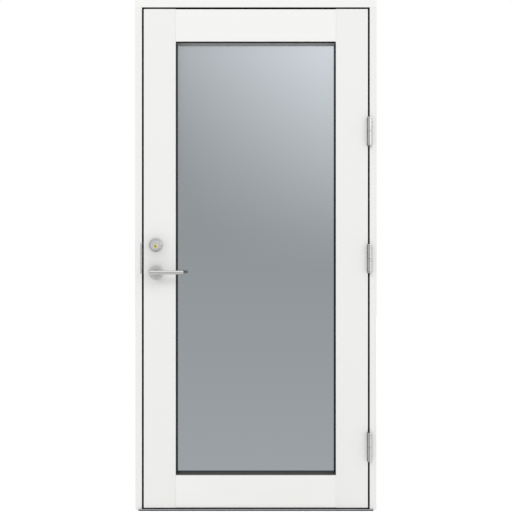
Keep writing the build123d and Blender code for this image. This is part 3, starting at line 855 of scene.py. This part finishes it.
# Roses and key rings are turned brass with satin chrome plating, pressed over a hidden base plate.
# The key ring is conical and stands round the end of the key cylinder.
def satin_chrome(name, centre, tone, gloss):
    """Satin plating with the circular marks of the lathe about a centre line along Y."""
    chrome = Finish(name, {"Metallic": 0.8})
    x, z = chrome.axis("X", centre), chrome.axis("Z", centre)
    radius = (x * x + z * z) ** 0.5
    circles = chrome.noise(chrome.node("ShaderNodeCombineXYZ", {}, {"X": radius * 2600}), 1, 3)
    hands = chrome.noise(chrome.place, 110, 5, 0.6)
    dark = tuple(part * 0.86 for part in tone)
    chrome.plating = chrome.tint(circles * 0.6 + hands * 0.3, (*tone, 1), (*dark, 1))
    chrome.feed("Base Color", chrome.plating)
    chrome.feed("Roughness", gloss + circles * 0.10 + hands * 0.06)
    chrome.relief(circles, 0.00003)
    return chrome


rose_finish = satin_chrome("rose_satin_chrome", (handle_x, 0, lever_z), (0.74, 0.74, 0.73), 0.30)
ring_finish = satin_chrome("ring_satin_chrome", (handle_x, 0, cylinder_z), (0.55, 0.55, 0.55), 0.28)
sides = (("outer", face_y, -1), ("inner", leaf_back_y, 1))
rose_radius, rose_thick, rose_bore, rose_edge = 0.028, 0.008, 0.0086, 0.0013
rose_outline = [(rose_bore, 0), (rose_radius, 0), (rose_radius, rose_thick), (rose_bore, rose_thick)]
ring_radius, ring_thick, ring_skirt, ring_face = 0.028, 0.010, 0.0018, 0.0212
ring_bore, ring_edge = 0.0197, 0.0006
ring_outline = [
    (ring_bore, 0),
    (ring_radius, 0),
    (ring_radius, ring_skirt),
    (ring_face, ring_thick),
    (ring_bore, ring_thick),
]
for place, start_y, way in sides:
    mesh = bmesh.new()
    turned_ring(mesh, rounded(rose_outline, rose_edge, 5), (handle_x, start_y, lever_z), (0, way, 0), 96)
    rose = finished(f"rose_{place}_turned", mesh, rose_finish, "leaf")
    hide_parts(f"rose_{place}")

    mesh = bmesh.new()
    turned_ring(mesh, rounded(ring_outline, ring_edge, 4), (handle_x, start_y, cylinder_z), (0, way, 0), 96)
    ring = finished(f"cylinder_ring_{place}_turned", mesh, ring_finish, "leaf")
    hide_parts(f"cylinder_ring_{place}")


# The end of the key cylinder is polished to a low dome. The brass plug stands in it below its middle,
# and its keyway is broached in steps that fit the grooves of the key.
def loose(mesh):
    """Makes a built form an object by itself, to be welded or cut."""
    made = bpy.data.objects.new("part", outwards("part", mesh))
    bpy.context.scene.collection.objects.link(made)
    return made


def round_solid(profile, centre, along, steps=64):
    """A closed turned form as an object by itself."""
    mesh = bmesh.new()
    turned(mesh, profile, centre, along, steps)
    return loose(mesh)


def joined(name, main, tool, operation, finish, body):
    """Welds or cuts a form with another and returns the piece as one closed mesh."""
    step = main.modifiers.new("step", "BOOLEAN")
    step.operation = operation
    step.object = tool
    mesh = bmesh.new()
    mesh.from_mesh(as_mesh(main))
    bpy.data.objects.remove(main)
    bpy.data.objects.remove(tool)
    bmesh.ops.remove_doubles(mesh, verts=mesh.verts, dist=0.000001)
    return finished(name, mesh, finish, body)


polished = satin_chrome("cylinder_polished", (handle_x, 0, cylinder_z), (0.92, 0.93, 0.96), 0.14)
dress(polished, "lock_cylinder")
plug_low, plug_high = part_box("key_plug_outer")
plug_z, plug_radius = (plug_low.z + plug_high.z) / 2, (plug_high.x - plug_low.x) / 2
plug_length = plug_high.y - plug_low.y
brass = satin_chrome("plug_brass_finish", (handle_x, 0, plug_z), (0.95, 0.86, 0.44), 0.22)
keyway_shade = 0.0004
dark_from, dark_to = plug_low.y + keyway_shade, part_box("key_plug_inner")[1].y - keyway_shade
depth = brass.axis("Y")
# Inside the keyway the brass is coloured near-black: painted shade.
keyway_painted_shade = depth.past(dark_from, 2500) * depth.short_of(dark_to, 2500)
brass.feed("Base Color", brass.tint(keyway_painted_shade, brass.plating, (0.02, 0.017, 0.010, 1)))

face_top, face_bend, face_radius, face_seat = 0.0103, 0.24, 0.0192, 0.0090
hole_low, hole_high, plug_room = 0.008, 0.013, 0.0002
plug_top, plug_bend, plug_edge = 0.0112, 0.055, 0.0005
keyway_in, keyway_out = 0.010, 0.013
keyway_wide, keyway_high = 0.0017, 0.0011
keyway_steps = [(-0.8, 4.5), (1.0, 4.5), (1.0, 2.2), (0.2, 1.6), (0.2, 0.2), (1.3, -0.4), (1.3, -2.6)]
keyway_steps += [(0.6, -3.2), (0.6, -4.5), (-1.2, -4.5), (-1.2, -3.0), (-0.4, -2.2), (-0.4, -0.8)]
keyway_steps += [(-1.4, -0.2), (-1.4, 2.0), (-0.8, 2.6)]
keyway = [(x * keyway_wide, z * keyway_high) for x, z in keyway_steps]


def dome(radius, top, bend, steps=10):
    """The profile of a low dome, from its rim to its middle."""
    sizes = [radius * (1 - i / steps) for i in range(steps + 1)]
    return [(size, top - size**2 / (2 * bend)) for size in sizes]


for (place, start_y, way), body in zip(sides, ("key_plug", "leaf")):
    plug_at = (handle_x, start_y, plug_z)
    face_profile = [(0, face_seat), (face_radius, face_seat), *dome(face_radius, face_top, face_bend)]
    face = round_solid(face_profile, (handle_x, start_y, cylinder_z), (0, way, 0), 96)
    opening = plug_radius + plug_room
    hole_profile = [(0, hole_low), (opening, hole_low), (opening, hole_high), (0, hole_high)]
    hole = round_solid(hole_profile, plug_at, (0, way, 0))
    joined(f"cylinder_face_{place}", face, hole, "DIFFERENCE", polished, "leaf")

    plug_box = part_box(f"key_plug_{place}")
    end_y = plug_box[1].y if way > 0 else plug_box[0].y
    root = way * (end_y - start_y) - plug_length
    plug_dome = dome(plug_radius - plug_edge, plug_top, plug_bend)
    plug_side = plug_dome[0][1] - plug_edge
    plug_profile = [(0, root), (plug_radius, root), (plug_radius, plug_side), *plug_dome]
    plug = round_solid(plug_profile, plug_at, (0, way, 0), 96)
    mesh = bmesh.new()
    low, high = sorted((start_y - way * keyway_in, start_y + way * keyway_out))
    start, end = Vector((handle_x, low, plug_z)), Vector((handle_x, high, plug_z))
    bar(mesh, keyway, start, end, Vector((1, 0, 0)), Vector((0, 0, 1)))
    plug = joined(f"key_plug_{place}_turned", plug, loose(mesh), "DIFFERENCE", brass, body)
    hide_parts(f"key_plug_{place}")


# Each lever is a round satin-chrome bar, brazed across the end of a round neck.
# A thin groove runs round the neck near the rose, and the steel spindle joins both necks through the leaf.
lever_finish = Finish("lever_satin_chrome", {"Metallic": 1})
linishing = lever_finish.noise(lever_finish.stretched((30, 2600, 2600)), 1, 3)
fingers = lever_finish.noise(lever_finish.place, 90, 5, 0.6)
wear = linishing * 0.4 + fingers * 0.4
lever_finish.feed("Base Color", lever_finish.tint(wear, (0.66, 0.66, 0.65, 1), (0.55, 0.55, 0.54, 1)))
lever_finish.feed("Roughness", 0.22 + linishing * 0.10 + fingers * 0.06)
lever_finish.relief(linishing, 0.00003)

bar_radius, neck_radius, neck_gap = 0.0085, 0.0084, 0.001
lever_tail, lever_length, lever_edge = 0.0135, 0.120, 0.0016
stand_off = 0.058
neck_end = stand_off - 0.002
neck_groove, neck_groove_deep, neck_groove_wide, neck_groove_side = 0.0045, 0.0006, 0.001, 0.0003
lever_end = lever_tail + lever_length
bar_profile = curve_in([(0, 0), (bar_radius, 0), (bar_radius, lever_end), (0, lever_end)], lever_edge, 5)
neck_profile = [
    (0, neck_gap),
    (neck_radius, neck_gap),
    (neck_radius, neck_groove),
    (neck_radius - neck_groove_deep, neck_groove + neck_groove_side),
    (neck_radius - neck_groove_deep, neck_groove + neck_groove_wide - neck_groove_side),
    (neck_radius, neck_groove + neck_groove_wide),
    (neck_radius, neck_end),
    (0, neck_end),
]
for place, start_y, way in sides:
    grip = round_solid(bar_profile, (handle_x - lever_tail, start_y + way * stand_off, lever_z), (1, 0, 0))
    neck = round_solid(neck_profile, (handle_x, start_y, lever_z), (0, way, 0))
    lever = joined(f"lever_{place}_turned", grip, neck, "UNION", lever_finish, "levers")
    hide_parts(f"lever_{place}")


# The studio is plain: a pale floor, white all round, one large soft lamp high in front and to the left.
# Paint takes an even light from the room. What shines sees a dimmer room in front of the door, which grows
# bright to the upper right.
floor_radius = 9
mesh = bmesh.new()
bmesh.ops.create_circle(mesh, cap_ends=True, segments=96, radius=floor_radius)
data = bpy.data.meshes.new("floor")
mesh.to_mesh(data)
mesh.free()
floor = bpy.data.objects.new("floor", data)
bpy.context.scene.collection.objects.link(floor)

floor_material = bpy.data.materials.new("pale_floor")
floor_material.use_nodes = True
ground = Recipe(floor_material.node_tree)
data.materials.append(floor_material)
second_loss = 0.42


def kinds_of_ray(recipe):
    """Masks: rays seen straight or through glass, rays off what shines, and rays off what scatters.
    A ray that has left two shining surfaces counts for less."""
    direct = recipe.node("ShaderNodeLightPath", {}, {}, "Is Camera Ray")
    others = ("Is Transmission Ray", "Is Diffuse Ray", "Glossy Depth", "Diffuse Depth")
    through, spread, glossy, scattered = (Value(recipe, direct.socket.node.outputs[name]) for name in others)
    sharp, fresh = glossy.within(0, 1), 1 - scattered.within(0, 1)
    again = (glossy - 1).within(0, 1) * (1 - through)
    seen = (direct + through).within(0, 1) * (1 - sharp) * fresh
    shone = sharp * fresh * (1 - spread) * (1 - again * second_loss)
    return seen, shone, spread


floor_tone = 0.88
floor_glow = 0.30
floor_fill = 0.24
seen = kinds_of_ray(ground)[0]
lit = ground.node("ShaderNodeBsdfDiffuse", {}, {"Color": grey(floor_tone)})
glow = ground.node("ShaderNodeEmission", {}, {"Strength": seen * floor_glow + floor_fill})
both = ground.node("ShaderNodeAddShader", {}, {0: lit, 1: glow})
ground.node("ShaderNodeOutputMaterial", {}, {"Surface": both})
floor.visible_glossy = floor.visible_transmission = False

world = bpy.data.worlds.new("studio")
world.use_nodes = True
bpy.context.scene.world = world
room = Recipe(world.node_tree)
room_light, room_front = 0.725, 0.451
glare_low, glare_left, glare_lean, glare_rise, glare_most = 0.021, 0.06, 0.42, 6.33, 0.75
under_near, under_far = 0.26, 0.4
flank_from, flank_light = 0.25, 0.5
ceiling_light, window_light = 0.8, 1.1
behind_from, behind_rise, behind_most = 0.2, 3.6, 0.85
dark, light = grey(0), grey(1)
ceiling_stops = ((0.36, dark), (0.44, light), (0.86, light), (0.97, dark))
window_stops = ((0.76, dark), (0.80, light), (0.94, light), (0.97, dark))

seen, shone, spread = kinds_of_ray(room)
way = room.node("ShaderNodeTexCoord", out="Generated")
aside = room.node("ShaderNodeSeparateXYZ", {}, {"Vector": way})
upward, inward = (Value(room, aside.socket.node.outputs[axis]) for axis in "ZY")
glare = (upward + glare_low).within(0, 1) * (aside + upward * glare_lean + glare_left).within(0, 1)
glare = (glare * glare_rise).within(0, glare_most)
under = (0.02 - upward).within(0, 1) * under_near + (-0.4 - upward).within(0, 1) * under_far
flanks = (abs(aside) - flank_from).within(0, 1) * flank_light
ceiling = room.node("ShaderNodeValToRGB", {"stops": ceiling_stops}, {0: upward})
window = room.node("ShaderNodeValToRGB", {"stops": window_stops}, {0: aside})
behind = ((inward - behind_from).within(0, 1) * flanks * behind_rise).within(0, behind_most)
shine = room_front + glare * (1 - ceiling) + under + flanks + ceiling * ceiling_light + window * window_light
strength = seen + shone * (shine * (1 - behind)) + spread * room_light
sky = room.node("ShaderNodeBackground", {}, {"Color": light, "Strength": strength})
room.node("ShaderNodeOutputWorld", {}, {"Surface": sky})

key_lamp = bpy.data.objects.new("key_lamp", bpy.data.lights.new("key_lamp", "AREA"))
key_lamp.data.shape = "SQUARE"
key_lamp.data.size = 7.0
key_lamp.data.energy = 910
key_lamp.location = (-6.2, -14.5, 10.2)
lamp_aim = Vector((0, 0, 1.0))
key_lamp.rotation_mode = "QUATERNION"
key_lamp.rotation_quaternion = (lamp_aim - key_lamp.location).to_track_quat("-Z", "Y")
key_lamp.visible_glossy = False
bpy.context.scene.collection.objects.link(key_lamp)

bpy.context.scene.view_settings.view_transform = "Standard"
